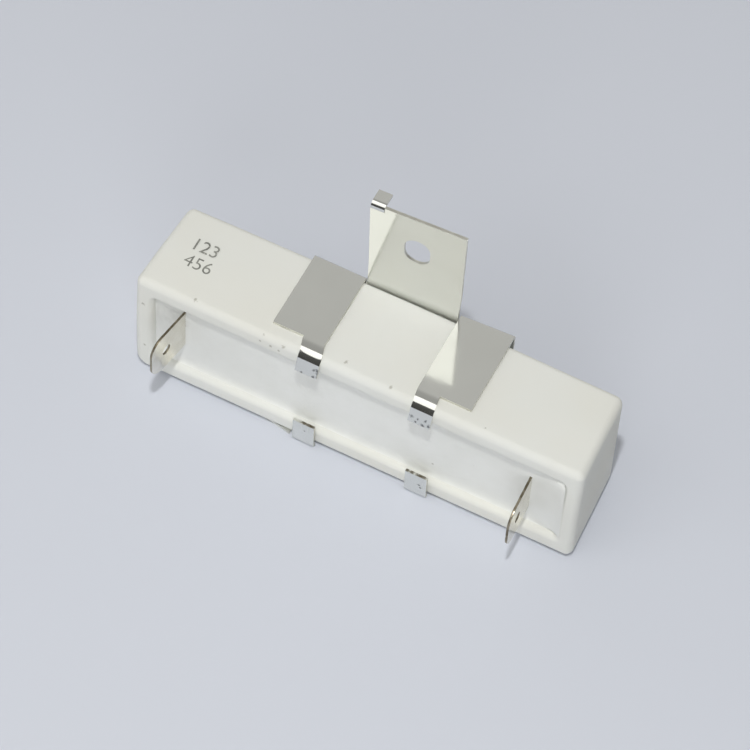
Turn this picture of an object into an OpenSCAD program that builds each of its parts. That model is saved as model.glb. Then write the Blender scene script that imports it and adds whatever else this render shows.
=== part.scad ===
// Cement resistor: a wirewound element potted in an open ceramic trough, with two tab terminals
// and a folded sheet bracket that clips round the case. +Z is up and the terminals point to -Y.

/* [Ceramic case] */
// Length of the case at its open front
case_length = 90; // [80:0.5:120]
// Height of the case
case_height = 26.6; // [24:0.1:36]
// Depth of the case from the open front to the back
case_depth = 20; // [18:0.1:30]
// How far each end leans in from the front to the back
end_draft = 0.75; // [0.2:0.05:1.5]
// Thickness of the two end walls
end_wall = 3.4; // [2.4:0.1:4.5]
// Thickness of the top and bottom walls
side_wall = 4.2; // [3:0.1:5]
// Thickness of the back wall
back_wall = 3.2; // [2:0.1:4]
// Radius of the outer edges
edge_radius = 1.5; // [0.8:0.1:1.8]
// Radius of the lip's inner edge
mouth_radius = 1; // [0.4:0.1:1.2]
// Radius of the corners inside the trough
cavity_radius = 1.5; // [0.8:0.1:2.5]

/* [Cement] */
// How far the cement lies behind the lip
cement_recess = 1.2; // [1:0.1:3]
// How far the cement climbs up the walls
meniscus_rise = 0.5; // [0.2:0.05:0.9]
// Width of the band along the walls where the cement climbs
meniscus_reach = 2.2; // [0.6:0.1:3]

/* [Resistance element] */
// Diameter of the rod that carries the winding
rod_diameter = 9; // [6:0.1:9.6]
// Diameter of the resistance wire
wire_diameter = 0.6; // [0.4:0.05:0.8]
// Distance from one turn of the winding to the next
wire_pitch = 1.8; // [1.4:0.1:3]
// Wall of the caps on the rod's ends
cap_wall = 0.5; // [0.3:0.05:0.8]
// Length of the caps
cap_length = 6; // [4:0.1:10]
// Clearance between a cap and the rod
cap_clearance = 0.05; // [0.02:0.01:0.15]

/* [Terminals] */
// Thickness of the terminal strip
terminal_thickness = 0.5; // [0.4:0.05:1]
// Width of the terminal strip
terminal_width = 9.6; // [6:0.1:11]
// How far the noses stand out in front of the lip
terminal_reach = 8.2; // [6:0.1:14]
// Radius of the nose's corners
nose_radius = 3.3; // [1:0.1:4]
// Diameter of the hole in each terminal
terminal_hole = 2.2; // [1.2:0.1:3]
// Distance from the nose to the centre of the hole
terminal_hole_back = 4.3; // [3:0.1:5]
// Distance from the case's left end to the left terminal
left_inset = 9.2; // [7:0.1:14]
// Distance from the case's right end to the right terminal
right_inset = 10.3; // [7:0.1:14]
// Space between the left terminal's top edge and the trough's top wall
left_headroom = 2.1; // [1:0.1:5]
// Space between the right terminal's top edge and the trough's top wall
right_headroom = 4.5; // [1:0.1:5]
// Outward splay of the left terminal in degrees
left_splay_angle = 6.5; // [1:0.5:15]
// Outward splay of the right terminal in degrees
right_splay_angle = 3.5; // [1:0.5:15]

/* [Mounting bracket] */
// Thickness of the bracket's sheet
sheet = 0.6; // [0.4:0.05:1]
// Inside radius of the folds
fold_radius = 0.3; // [0.2:0.05:0.8]
// Gap between the case and the back plate
plate_gap = 0.25; // [0.05:0.05:0.8]
// Gap between the lip and the claws
claw_gap = 0.3; // [0.05:0.05:0.8]
// How far the left end of the back plate stands off the case in degrees
left_stand_off_angle = 0; // [0:0.5:8]
// How far the right end of the back plate stands off the case in degrees
right_stand_off_angle = 5; // [0:0.5:8]
// Width of the bracket over both wings
bracket_width = 39.8; // [34:0.1:50]
// Distance of the bracket's middle from the middle of the case
bracket_offset = 1.4; // [-5:0.1:5]
// Width of the tongues and claws that hold the lip
finger_width = 4.4; // [3:0.1:6]
// Sideways set of the tongues and claws
finger_set = 0.9; // [0:0.1:1.2]
// Length of a tongue between the top wing and its fold
tongue_run = 2.5; // [1.5:0.1:6]
// How far the tongues reach down from the top of the case
tongue_drop = 4.2; // [3:0.1:6]
// Length of a claw between the bottom wing and its fold
claw_run = 0.5; // [0.2:0.05:4]
// How far the claws reach up from the bottom of the case
claw_rise = 6.1; // [4:0.1:8]
// Width of the ear
ear_width = 18.2; // [14:0.1:24]
// Height of the ear above the top of the case
ear_height = 25.2; // [22:0.1:34]
// Width of the cut between the ear and each wing
ear_slit = 0.25; // [0.1:0.05:0.6]
// Depth of the cut below the fold line
slit_depth = 0.8; // [0.3:0.1:2]
// Width of the mounting slot
slot_width = 5; // [3.2:0.1:6.5]
// Length of the mounting slot
slot_length = 6.6; // [6.6:0.1:10]
// Height of the slot's middle above the top of the case
slot_height = 15.3; // [10:0.1:16]
// Width of the locating hook on the ear
hook_width = 2.8; // [2:0.1:4]
// How far the hook reaches behind the ear
hook_reach = 2.8; // [2:0.1:5]

/* [Hidden] */
$fn = 48;
LEFT = -1;
RIGHT = 1;
CORNER_STEPS = 8;
SMALLEST_CORNER = 0.1;
TURN_STEPS = 12;
WIRE_SIDES = 6;

// Heights and depths of the case, with the lip at y = 0 and the table at z = 0
case_bottom = sheet;
case_top = case_bottom + case_height;
cavity_bottom = case_bottom + side_wall;
cavity_top = case_top - side_wall;
cavity_back = case_depth - back_wall;

// Places of the terminals and the element
terminal_pivot = cement_recess + terminal_thickness;
left_height = cavity_top - left_headroom - terminal_width / 2;
right_height = cavity_top - right_headroom - terminal_width / 2;
left_face = case_length / 2 - left_inset - terminal_thickness;
right_face = case_length / 2 - right_inset - terminal_thickness;
rod_radius = rod_diameter / 2;
cap_radius = rod_radius + cap_clearance + cap_wall;
element_depth = (cement_recess + cavity_back) / 2;
element_height = (left_height + right_height) / 2;
wire_radius = wire_diameter / 2;
helix_radius = rod_radius / cos(180 / TURN_STEPS) + wire_radius;
winding_radius = helix_radius + wire_radius;

// Places of the bracket
plate_face = case_depth + plate_gap;
fold_outer = fold_radius + sheet;
tongue_radius = edge_radius;
wing_inner = ear_width / 2 + ear_slit;
wing_width = bracket_width / 2 - wing_inner;
ear_top = case_top + ear_height;
hook_end = plate_face + sheet + hook_reach;

// The origin lies under the middle of the part's box
origin_y = (hook_end - terminal_reach) / 2;

// Moves a piece from the lip's plane to the part's own frame
module placed() {
    translate([0, -origin_y, 0]) children();
}

// Points along one rounded corner of a ring
function corner(centre, radius, from, to) = [
    for (i = [0 : CORNER_STEPS])
        let (angle = from + (to - from) * i / CORNER_STEPS) centre + radius * [cos(angle), sin(angle)]
];

// Angles from one end of a quarter turn to the other
function quarter(from, to) = [for (i = [0 : CORNER_STEPS]) from + (to - from) * i / CORNER_STEPS];

// Closed solid through a list of rings that all have the same number of points
module ring_stack(rings) {
    count = len(rings[0]);
    last = (len(rings) - 1) * count;
    walls = [
        for (k = [0 : count : last - count], i = [0 : count - 1])
            let (next = (i + 1) % count) [k + i, k + count + i, k + count + next, k + next]
    ];
    ends = [[for (i = [0 : count - 1]) i], [for (i = [count - 1 : -1 : 0]) last + i]];
    polyhedron([for (ring = rings) each ring], concat(ends, walls));
}

// Outline of the case in plan at height z, with its four corners turned to the given radius
function case_ring(z, radius) =
    let (front = edge_radius, back = case_depth - edge_radius)
    let (front_x = case_length / 2 - edge_radius, back_x = front_x - end_draft)
    let (lean = atan2(end_draft, back - front))
    [
        for (p = concat(
            corner([front_x, front], radius, -90, lean),
            corner([back_x, back], radius, lean, 90),
            corner([-back_x, back], radius, 90, 180 - lean),
            corner([-front_x, front], radius, 180 - lean, 270)
        )) [p.x, p.y, z]
    ];

// Outline of the trough at depth y, grown outwards from its walls by grow
function trough_ring(y, grow) =
    let (radius = max(cavity_radius + grow, SMALLEST_CORNER * cavity_radius))
    let (x = case_length / 2 - end_wall - end_draft * y / cavity_back + grow - radius)
    let (middle = (cavity_top + cavity_bottom) / 2, side = cavity_top - middle + grow - radius)
    [
        for (p = concat(
            corner([x, middle - side], radius, -90, 0), corner([x, middle + side], radius, 0, 90),
            corner([-x, middle + side], radius, 90, 180), corner([-x, middle - side], radius, 180, 270)
        )) [p.x, y, p.y]
    ];

// Rings of the trough's floor, from its middle to where the walls begin
function floor_rings() = [
    for (turn = quarter(90, 0))
        let (radius = cavity_radius * max(cos(turn), SMALLEST_CORNER))
        trough_ring(cavity_back - cavity_radius * (1 - sin(turn)), radius - cavity_radius)
];

// Pressed ceramic trough with rounded edges, leaning ends and a rounded lip
module ceramic_case() {
    bottom = [
        for (turn = quarter(-90, 0)) case_ring(
            case_bottom + edge_radius * (1 + sin(turn)), edge_radius * max(cos(turn), SMALLEST_CORNER)
        )
    ];
    top = [
        for (turn = quarter(0, 90)) case_ring(
            case_top - edge_radius * (1 - sin(turn)), edge_radius * max(cos(turn), SMALLEST_CORNER)
        )
    ];
    lip = [
        for (turn = quarter(0, 90))
            trough_ring(mouth_radius * (1 - sin(turn)), mouth_radius * (1 - cos(turn)))
    ];
    color("ivory") placed() difference() {
        ring_stack(concat(bottom, top));
        ring_stack(concat(floor_rings(), lip, [trough_ring(-mouth_radius, mouth_radius)]));
    }
}

// Cement cast round the element, set back behind the lip and climbing a little up the walls
module cement_fill() {
    face = [
        for (turn = quarter(90, 0))
            trough_ring(cement_recess - meniscus_rise * (1 - cos(turn)), -meniscus_reach * (1 - sin(turn)))
    ];
    color("gainsboro") placed() difference() {
        ring_stack(concat(floor_rings(), face));
        along_element(-left_face) cylinder(r = cap_radius, h = left_face + right_face);
        along_element(-left_face + cap_length)
            cylinder(r = winding_radius, h = left_face + right_face - 2 * cap_length);
        terminal(LEFT, left_inset, left_height, left_splay_angle, bored = false);
        terminal(RIGHT, right_inset, right_height, right_splay_angle, bored = false);
    }
}

// Stands a piece on the element's axis, with its foot at x = from
module along_element(from) {
    translate([from, element_depth, element_height]) rotate([0, 90, 0]) children();
}

// Ceramic rod that carries the winding
module core_rod() {
    color("wheat") placed() along_element(-left_face + cap_wall)
        cylinder(r = rod_radius, h = left_face + right_face - 2 * cap_wall);
}

// Resistance wire wound on the rod from cap to cap
module resistance_winding() {
    start = -left_face + cap_length + wire_radius;
    span = left_face + right_face - 2 * (cap_length + wire_radius);
    rings = floor(span / wire_pitch * TURN_STEPS);
    points = [
        for (i = [0 : rings], j = [0 : WIRE_SIDES - 1])
            let (turn = 360 * i / TURN_STEPS, side = 360 * j / WIRE_SIDES)
            let (radius = helix_radius + wire_radius * cos(side))
            [start + span * i / rings + wire_radius * sin(side), radius * cos(turn), radius * sin(turn)]
    ];
    walls = [
        for (i = [0 : rings - 1], j = [0 : WIRE_SIDES - 1])
            let (next = (j + 1) % WIRE_SIDES, a = i * WIRE_SIDES, b = (i + 1) * WIRE_SIDES)
            [a + j, b + j, b + next, a + next]
    ];
    first = [for (j = [0 : WIRE_SIDES - 1]) j];
    last = [for (j = [WIRE_SIDES - 1 : -1 : 0]) rings * WIRE_SIDES + j];
    color("dimgray") placed() translate([0, element_depth, element_height])
        polyhedron(points, concat([first, last], walls));
}

// Cap pressed on one end of the rod, with its closed end at x = face
module end_cap(side, face) {
    mirror([side == LEFT ? 1 : 0, 0, 0]) along_element(face - cap_length) difference() {
        cylinder(r = cap_radius, h = cap_length);
        translate([0, 0, -cap_wall]) cylinder(r = rod_radius + cap_clearance, h = cap_length);
    }
}

module end_cap_left() {
    color("silver") placed() end_cap(LEFT, left_face);
}

module end_cap_right() {
    color("silver") placed() end_cap(RIGHT, right_face);
}

// What is cut from a terminal's blade: the corners of its nose, at x = length, and its hole
module blade_cuts(length, bored) {
    for (side = [0, 1]) mirror([0, side])
        translate([length - nose_radius, terminal_width / 2 - nose_radius]) difference() {
            square(2 * nose_radius);
            circle(r = nose_radius);
        }
    if (bored) translate([length - terminal_hole_back, 0]) circle(d = terminal_hole);
}

// Terminal strip: a run welded to the cap's end face, a bend at the cement and the splayed blade
module terminal(side, inset, height, splay, bored = true) {
    blade = (terminal_reach + terminal_pivot - terminal_thickness * sin(splay)) / cos(splay);
    run = element_depth + cap_radius - terminal_pivot;
    nose = blade * [sin(splay), -cos(splay)];
    across = terminal_thickness * [-cos(splay), -sin(splay)];
    bend = terminal_thickness * [-1, -tan(splay / 2)];
    mirror([side == LEFT ? 1 : 0, 0, 0]) translate([case_length / 2 - inset, terminal_pivot, height])
        difference() {
            translate([0, 0, -terminal_width / 2]) linear_extrude(terminal_width)
                polygon([[0, 0], [0, run], [-terminal_thickness, run], bend, nose + across, nose]);
            rotate([0, 0, splay]) rotate([90, 0, -90]) translate([0, 0, -terminal_thickness])
                linear_extrude(3 * terminal_thickness) blade_cuts(blade, bored);
        }
}

module terminal_left() {
    color("lightgray") placed() terminal(LEFT, left_inset, left_height, left_splay_angle);
}

module terminal_right() {
    color("lightgray") placed() terminal(RIGHT, right_inset, right_height, right_splay_angle);
}

// Extrudes a side view, drawn in Y and Z, along X from x = from
module along_x(from, width) {
    translate([from, 0, 0]) rotate([90, 0, 90]) linear_extrude(width) children();
}

// Quarter ring of sheet whose hollow side faces up and back
module fold_section(radius) {
    difference() {
        intersection() {
            circle(r = radius + sheet);
            translate([-radius - sheet, -radius - sheet]) square(radius + sheet);
        }
        circle(r = radius);
    }
}

// Bottom wing with its inner end at x = 0: the flat run from y = front, the fold and half of the back
// plate, which stands off the case by stand_off degrees
module wing(front, stand_off) {
    skew = fold_radius * sin(stand_off);
    fold_line = plate_face - fold_radius * cos(stand_off);
    length = (wing_width - skew) / cos(stand_off);
    linear_extrude(sheet) polygon([
        [0, front], [wing_width, front], [wing_width, fold_line + length * sin(stand_off)],
        [0, fold_line - skew * tan(stand_off)]
    ]);
    translate([0, plate_face, 0]) rotate([0, 0, stand_off]) along_x(0, length) {
        translate([-fold_radius, sheet + fold_radius]) mirror([1, 0]) fold_section(fold_radius);
        translate([0, sheet + fold_radius]) square([sheet, case_height / 2 - fold_radius]);
    }
}

// Finger that goes on from a wing at y = front, set sideways, and folds up before the lip
module finger(front, radius, gap, hold) {
    bend = radius - gap;
    linear_extrude(sheet) polygon([
        [0, front + sheet], [finger_width, front + sheet], [finger_width, front],
        [finger_width + finger_set, bend], [finger_set, bend], [0, front]
    ]);
    along_x(finger_set, finger_width) {
        translate([bend, sheet + radius]) fold_section(radius);
        translate([-gap - sheet, sheet + radius]) square([sheet, hold - radius]);
    }
}

// Both wings and fingers on one face of the case, as they lie on the table
module wing_pair(run, radius, gap, hold) {
    front = radius + run;
    translate([wing_inner, 0, 0]) wing(front, right_stand_off_angle);
    mirror([1, 0, 0]) translate([wing_inner, 0, 0]) wing(front, left_stand_off_angle);
    for (x = [-wing_inner - finger_width, wing_inner])
        translate([x, 0, 0]) finger(front, radius, gap, hold);
}

// Ear with its mounting slot and the hook folded back from its corner
module ear() {
    root = case_top - fold_radius - slit_depth;
    half_slot = (slot_length - slot_width) / 2;
    hook_x = -ear_width / 2;
    difference() {
        translate([hook_x, plate_face, root]) cube([ear_width, sheet, ear_top - root]);
        translate([hook_x, plate_face, ear_top - fold_outer]) cube([hook_width, 2 * sheet, 2 * fold_outer]);
        for (z = [-half_slot, half_slot])
            translate([0, plate_face - sheet, case_top + slot_height + z]) rotate([-90, 0, 0])
                cylinder(d = slot_width, h = 3 * sheet);
        translate([-slot_width / 2, plate_face - sheet, case_top + slot_height - half_slot])
            cube([slot_width, 3 * sheet, 2 * half_slot]);
    }
    along_x(hook_x, hook_width) {
        translate([plate_face + fold_outer, ear_top - fold_outer]) mirror([0, 1]) fold_section(fold_radius);
        translate([plate_face + fold_outer, ear_top - sheet])
            square([hook_end - plate_face - fold_outer, sheet]);
    }
}

// One folded sheet: back plate, top wings with tongues, bottom wings with claws, and the ear
module mounting_bracket() {
    plate_bottom = case_bottom + fold_radius;
    plate_top = case_top - fold_radius - slit_depth;
    color("darkgray") placed() translate([bracket_offset, 0, 0]) {
        wing_pair(claw_run, fold_radius, claw_gap, claw_rise);
        translate([0, 0, case_bottom + case_top]) mirror([0, 0, 1])
            wing_pair(tongue_run, tongue_radius, 0, tongue_drop);
        translate([-wing_inner, plate_face, plate_bottom])
            cube([2 * wing_inner, sheet, plate_top - plate_bottom]);
        ear();
    }
}

ceramic_case();
cement_fill();
core_rod();
resistance_winding();
end_cap_left();
end_cap_right();
terminal_left();
terminal_right();
mounting_bracket();
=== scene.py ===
"""Cement resistor: its fine meshes, finishes, studio and camera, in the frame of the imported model.

Sizes are in millimetres, measured from the middle of the case, the plane of its lip and the floor.
"""

from __future__ import annotations

import logging
import math
from collections.abc import Iterable, Sequence
from dataclasses import dataclass
from enum import Enum

import bmesh
import bpy
from mathutils import Euler, Matrix, Vector, noise

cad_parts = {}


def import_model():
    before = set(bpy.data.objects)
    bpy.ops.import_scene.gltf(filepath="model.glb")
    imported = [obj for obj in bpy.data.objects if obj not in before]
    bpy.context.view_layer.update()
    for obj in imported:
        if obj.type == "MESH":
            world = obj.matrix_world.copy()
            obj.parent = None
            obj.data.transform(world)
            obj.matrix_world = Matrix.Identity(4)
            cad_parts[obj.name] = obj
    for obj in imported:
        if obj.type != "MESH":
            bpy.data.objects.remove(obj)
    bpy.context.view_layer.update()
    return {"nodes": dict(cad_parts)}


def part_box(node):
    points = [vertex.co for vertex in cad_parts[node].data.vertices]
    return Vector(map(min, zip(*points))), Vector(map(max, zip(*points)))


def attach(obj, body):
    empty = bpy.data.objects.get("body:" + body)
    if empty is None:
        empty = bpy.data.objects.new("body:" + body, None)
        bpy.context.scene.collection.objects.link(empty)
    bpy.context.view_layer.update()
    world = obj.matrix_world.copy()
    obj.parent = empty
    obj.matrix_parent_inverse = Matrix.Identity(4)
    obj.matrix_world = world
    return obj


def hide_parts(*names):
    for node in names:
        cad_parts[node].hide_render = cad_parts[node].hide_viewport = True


LOG = logging.getLogger("cement_resistor")
MM = 0.001
BODY = "root"

# The sRGB curve from screen values to light
SCREEN_TOP = 255
CURVE_KNEE = 0.04045
CURVE_SLOPE = 12.92
CURVE_OFFSET = 0.055
CURVE_POWER = 2.4

# Broken edges of sheet metal: edges sharper than the angle in degrees get this many facets
EDGE_ANGLE = 50
EDGE_FACETS = 2

# Depth and height of the cut upper ends of the claws
CLAW_TIP = (-0.6, 6.7)

Point = tuple[float, float, float]
Flat = tuple[float, float]
Spot = tuple[float, float, float, float]
Names = Sequence[str]
Colour = tuple[float, float, float, float]
Inputs = dict[str | int, object]
Material = bpy.types.Material
Piece = bpy.types.Object
Socket = bpy.types.NodeSocket
Tree = bpy.types.NodeTree
Feed = Socket | float


class Slot(Enum):
    """Names of material slots, passed along with the pieces that are handed over."""

    CASE = "case_ceramic"
    CEMENT = "cement"
    WIRE = "resistance_wire"
    STRIP = "tinned_strip"
    SHEET = "bracket_zinc"


class Side(Enum):
    """The two ends of the case, with the sign of their X."""

    LEFT = -1
    RIGHT = 1


class Kind(Enum):
    """Kinds of socket that the node groups have."""

    NUMBER = "NodeSocketFloat"
    POINT = "NodeSocketVector"
    FORM = "NodeSocketGeometry"


def to_light(value: int) -> float:
    """Gives the light that a screen value stands for.

    Args:
        value: the screen value, from 0 to 255.

    Returns:
        The light, from 0 to 1.
    """
    share = value / SCREEN_TOP
    if share <= CURVE_KNEE:
        return share / CURVE_SLOPE
    return ((share + CURVE_OFFSET) / (1 + CURVE_OFFSET)) ** CURVE_POWER


@dataclass(frozen=True)
class Tone:
    """A colour as it looks on a screen, from 0 to 255 for red, green and blue."""

    red: int
    green: int
    blue: int

    def linear(self, gain: float = 1.0) -> Colour:
        """Gives the colour as a shader takes it, with a factor on its light and an alpha of 1."""
        return (to_light(self.red) * gain, to_light(self.green) * gain, to_light(self.blue) * gain, 1.0)


class Graph:
    """A node tree under construction."""

    def __init__(self, tree: Tree) -> None:
        """Empties the tree that is to be filled."""
        self.tree = tree
        self.tree.nodes.clear()

    @classmethod
    def of(cls, owner: Material | bpy.types.World) -> Graph:
        """Starts the node tree of a material or of the world."""
        owner.use_nodes = True
        return cls(owner.node_tree)

    def add(self, kind: str, inputs: Inputs | None = None, **settings: object) -> bpy.types.Node:
        """Adds one node.

        Args:
            kind: the node's type name.
            inputs: values for its sockets, or output sockets that feed them, by socket name or place.
            settings: the node's own properties.

        Returns:
            The new node.
        """
        node = self.tree.nodes.new(kind)
        for name, value in settings.items():
            setattr(node, name, value)
        for name, value in (inputs or {}).items():
            if isinstance(value, Socket):
                self.tree.links.new(value, node.inputs[name])
            else:
                node.inputs[name].default_value = value
        return node

    def declare(self, points: Names, numbers: Names, output: str, kind: Kind) -> dict[str, str]:
        """Gives a node group its inputs and its output.

        Args:
            points: names of the inputs that are places.
            numbers: names of the inputs that are numbers.
            output: name of the output.
            kind: the output's kind.

        Returns:
            The identifiers of the inputs by name.
        """
        new = self.tree.interface.new_socket
        kinds = dict.fromkeys(points, Kind.POINT) | dict.fromkeys(numbers, Kind.NUMBER)
        made = {}
        for name, of in kinds.items():
            made[name] = new(name=name, in_out="INPUT", socket_type=of.value).identifier
        new(name=output, in_out="OUTPUT", socket_type=kind.value)
        return made

    def close(self, result: Socket) -> Tree:
        """Links the result to a node group's output and gives the group."""
        self.add("NodeGroupOutput", {0: result})
        return self.tree

    def math(self, operation: str, *values: Feed) -> Socket:
        """Adds a Math node on numbers or sockets and gives its result."""
        return self.add("ShaderNodeMath", dict(enumerate(values)), operation=operation).outputs[0]

    def mix(self, factor: Feed, first: object, second: object) -> Socket:
        """Mixes two colours or colour sockets and gives the result."""
        return self.add("ShaderNodeMix", {0: factor, 6: first, 7: second}, data_type="RGBA").outputs[2]

    def noise(self, place: Socket, scale: Feed, detail: float = 1.0) -> Socket:
        """Adds a noise texture and gives its value."""
        return self.add("ShaderNodeTexNoise", {"Vector": place, "Scale": scale, "Detail": detail}).outputs[0]

    def remap(self, value: Feed, low: Feed, high: Feed, to_low: Feed, to_high: Feed) -> Socket:
        """Maps a value from one range to another, clamped, and gives the result."""
        return self.add("ShaderNodeMapRange", dict(enumerate((value, low, high, to_low, to_high)))).outputs[0]


@dataclass(frozen=True)
class Stand:
    """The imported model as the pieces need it."""

    nodes: dict[str, Piece]
    lip: float

    def at(self, point: Point) -> Vector:
        """Turns a place in millimetres into the frame's metres."""
        x, y, z = point
        return Vector((x * MM, self.lip + y * MM, z * MM))


def clamp(value: float) -> float:
    """Keeps a value between 0 and 1."""
    return min(max(value, 0.0), 1.0)


def ease(share: float) -> float:
    """Gives a share from 0 to 1 a slow start and a slow end."""
    return share * share * (3 - 2 * share)


def quarter(steps: int) -> list[float]:
    """Lists the angles of a quarter turn in radians, from zero."""
    return [math.pi / 2 * i / steps for i in range(steps + 1)]


def rounding(radius: float, left: float) -> float:
    """Gives how far an edge of this radius has rounded off, at a distance from its end."""
    off = max(radius - left, 0.0)
    return radius - math.sqrt(radius * radius - off * off)


def arc(centre: Flat, radius: float, start: float, stop: float, steps: int) -> list[Flat]:
    """Lists the points of an arc.

    Args:
        centre: its centre.
        radius: its radius.
        start: the angle of its first point in degrees.
        stop: the angle of its last point in degrees.
        steps: number of straight steps.

    Returns:
        The points, from first to last.
    """
    angles = [math.radians(start + (stop - start) * i / steps) for i in range(steps + 1)]
    return [(centre[0] + radius * math.cos(a), centre[1] + radius * math.sin(a)) for a in angles]


def show(name: str, data: bpy.types.ID) -> Piece:
    """Makes an object and links it to the scene.

    Args:
        name: the object's name.
        data: its mesh, text, light or camera.

    Returns:
        The object.
    """
    made = bpy.data.objects.new(name, data)
    bpy.context.scene.collection.objects.link(made)
    return made


def plain_mesh(piece: Piece) -> bpy.types.Mesh:
    """Works out what an object's text or modifiers come to.

    Args:
        piece: the object.

    Returns:
        A new plain mesh.
    """
    bpy.context.view_layer.update()
    graph = bpy.context.evaluated_depsgraph_get()
    return bpy.data.meshes.new_from_object(piece.evaluated_get(graph))


def settle(piece: Piece) -> None:
    """Turns a piece's modifiers into plain mesh.

    Args:
        piece: the piece.
    """
    made, spent = plain_mesh(piece), piece.data
    piece.modifiers.clear()
    piece.data = made
    bpy.data.meshes.remove(spent)
    made.name = piece.name


def thicken(piece: Piece, thickness: float, edge: float) -> None:
    """Makes sheet metal of a surface: gives it a thickness behind it, and slightly broken edges.

    Args:
        piece: the surface; its second material goes on the cut edges.
        thickness: thickness of the sheet in millimetres.
        edge: width of the broken edges in millimetres.
    """
    solid = piece.modifiers.new("sheet", "SOLIDIFY")
    solid.thickness = thickness * MM
    solid.offset = -1.0
    solid.use_even_offset = True
    solid.material_offset_rim = 1
    bevel = piece.modifiers.new("edges", "BEVEL")
    bevel.width = edge * MM
    bevel.segments = EDGE_FACETS
    bevel.limit_method = "ANGLE"
    bevel.angle_limit = math.radians(EDGE_ANGLE)
    piece.modifiers.new("normals", "WEIGHTED_NORMAL").keep_sharp = True
    settle(piece)


def roughen(piece: Piece, height: float, wave: float) -> None:
    """Gives a piece the slight unevenness of something pressed or cast.

    Args:
        piece: the piece, with its place in its mesh.
        height: the largest step out of the true surface, in millimetres.
        wave: length of a wave, in millimetres.
    """
    for vertex in piece.data.vertices:
        vertex.co += vertex.normal * (height * MM * noise.noise(vertex.co / (wave * MM)))


def hand_over(piece: Piece, slot: Slot, *nodes: str) -> None:
    """Fixes a piece to the part's body and lets it stand for its CAD nodes.

    Args:
        piece: the finished piece.
        slot: its material slot; not used.
        nodes: names of the CAD nodes that it replaces.
    """
    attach(piece, BODY)
    if nodes:
        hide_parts(*nodes)


class Shell:
    """A mesh under construction, in millimetres."""

    WELD = 0.0005

    def __init__(self) -> None:
        """Starts with no faces."""
        self.mesh = bmesh.new()

    def face(self, points: Iterable[Point]) -> None:
        """Adds one face through the given points."""
        self.mesh.faces.new([self.mesh.verts.new(point) for point in points])

    def rows(self, rows: Sequence[Sequence[Point]], closed: bool = False) -> None:
        """Spans faces between rows of points.

        Args:
            rows: rows with the same number of points each.
            closed: whether each row goes round to its first point.
        """
        for first, second in zip(rows, rows[1:]):
            count = len(first)
            for i in range(count if closed else count - 1):
                j = (i + 1) % count
                self.face((first[i], first[j], second[j], second[i]))

    def stack(self, rings: Sequence[Sequence[Point]]) -> None:
        """Spans a closed form through rings of points, from one end face to the other.

        Args:
            rings: rings with the same number of points each.
        """
        self.rows(rings, closed=True)
        self.face(rings[0])
        self.face(rings[-1])

    def weld(self) -> None:
        """Joins points that share a place and turns the faces the same way."""
        bmesh.ops.remove_doubles(self.mesh, verts=self.mesh.verts, dist=self.WELD)
        bmesh.ops.recalc_face_normals(self.mesh, faces=self.mesh.faces)

    def reverse(self) -> None:
        """Turns all faces round."""
        bmesh.ops.reverse_faces(self.mesh, faces=self.mesh.faces)

    def turn_to(self, side: Point) -> None:
        """Turns all faces round if they look away from a side.

        Args:
            side: the direction of that side.
        """
        towards = Vector(side)
        if sum(face.normal.dot(towards) * face.calc_area() for face in self.mesh.faces) < 0:
            self.reverse()

    def take(self, other: Shell) -> None:
        """Adds the faces of another form.

        Args:
            other: the form, which is used up.
        """
        spare = bpy.data.meshes.new("spare")
        other.mesh.to_mesh(spare)
        other.mesh.free()
        self.mesh.from_mesh(spare)
        bpy.data.meshes.remove(spare)

    def piece(self, name: str, stand: Stand, materials: Sequence[Material]) -> Piece:
        """Makes the finished object, smooth all over.

        Args:
            name: the object's name.
            stand: the frame that it stands in.
            materials: its materials, in the order of its slots.

        Returns:
            The object, with its place in its mesh.
        """
        for vertex in self.mesh.verts:
            vertex.co = stand.at(vertex.co)
        for facet in self.mesh.faces:
            facet.smooth = True
        data = bpy.data.meshes.new(name)
        self.mesh.to_mesh(data)
        self.mesh.free()
        for material in materials:
            data.materials.append(material)
        return show(name, data)


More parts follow.
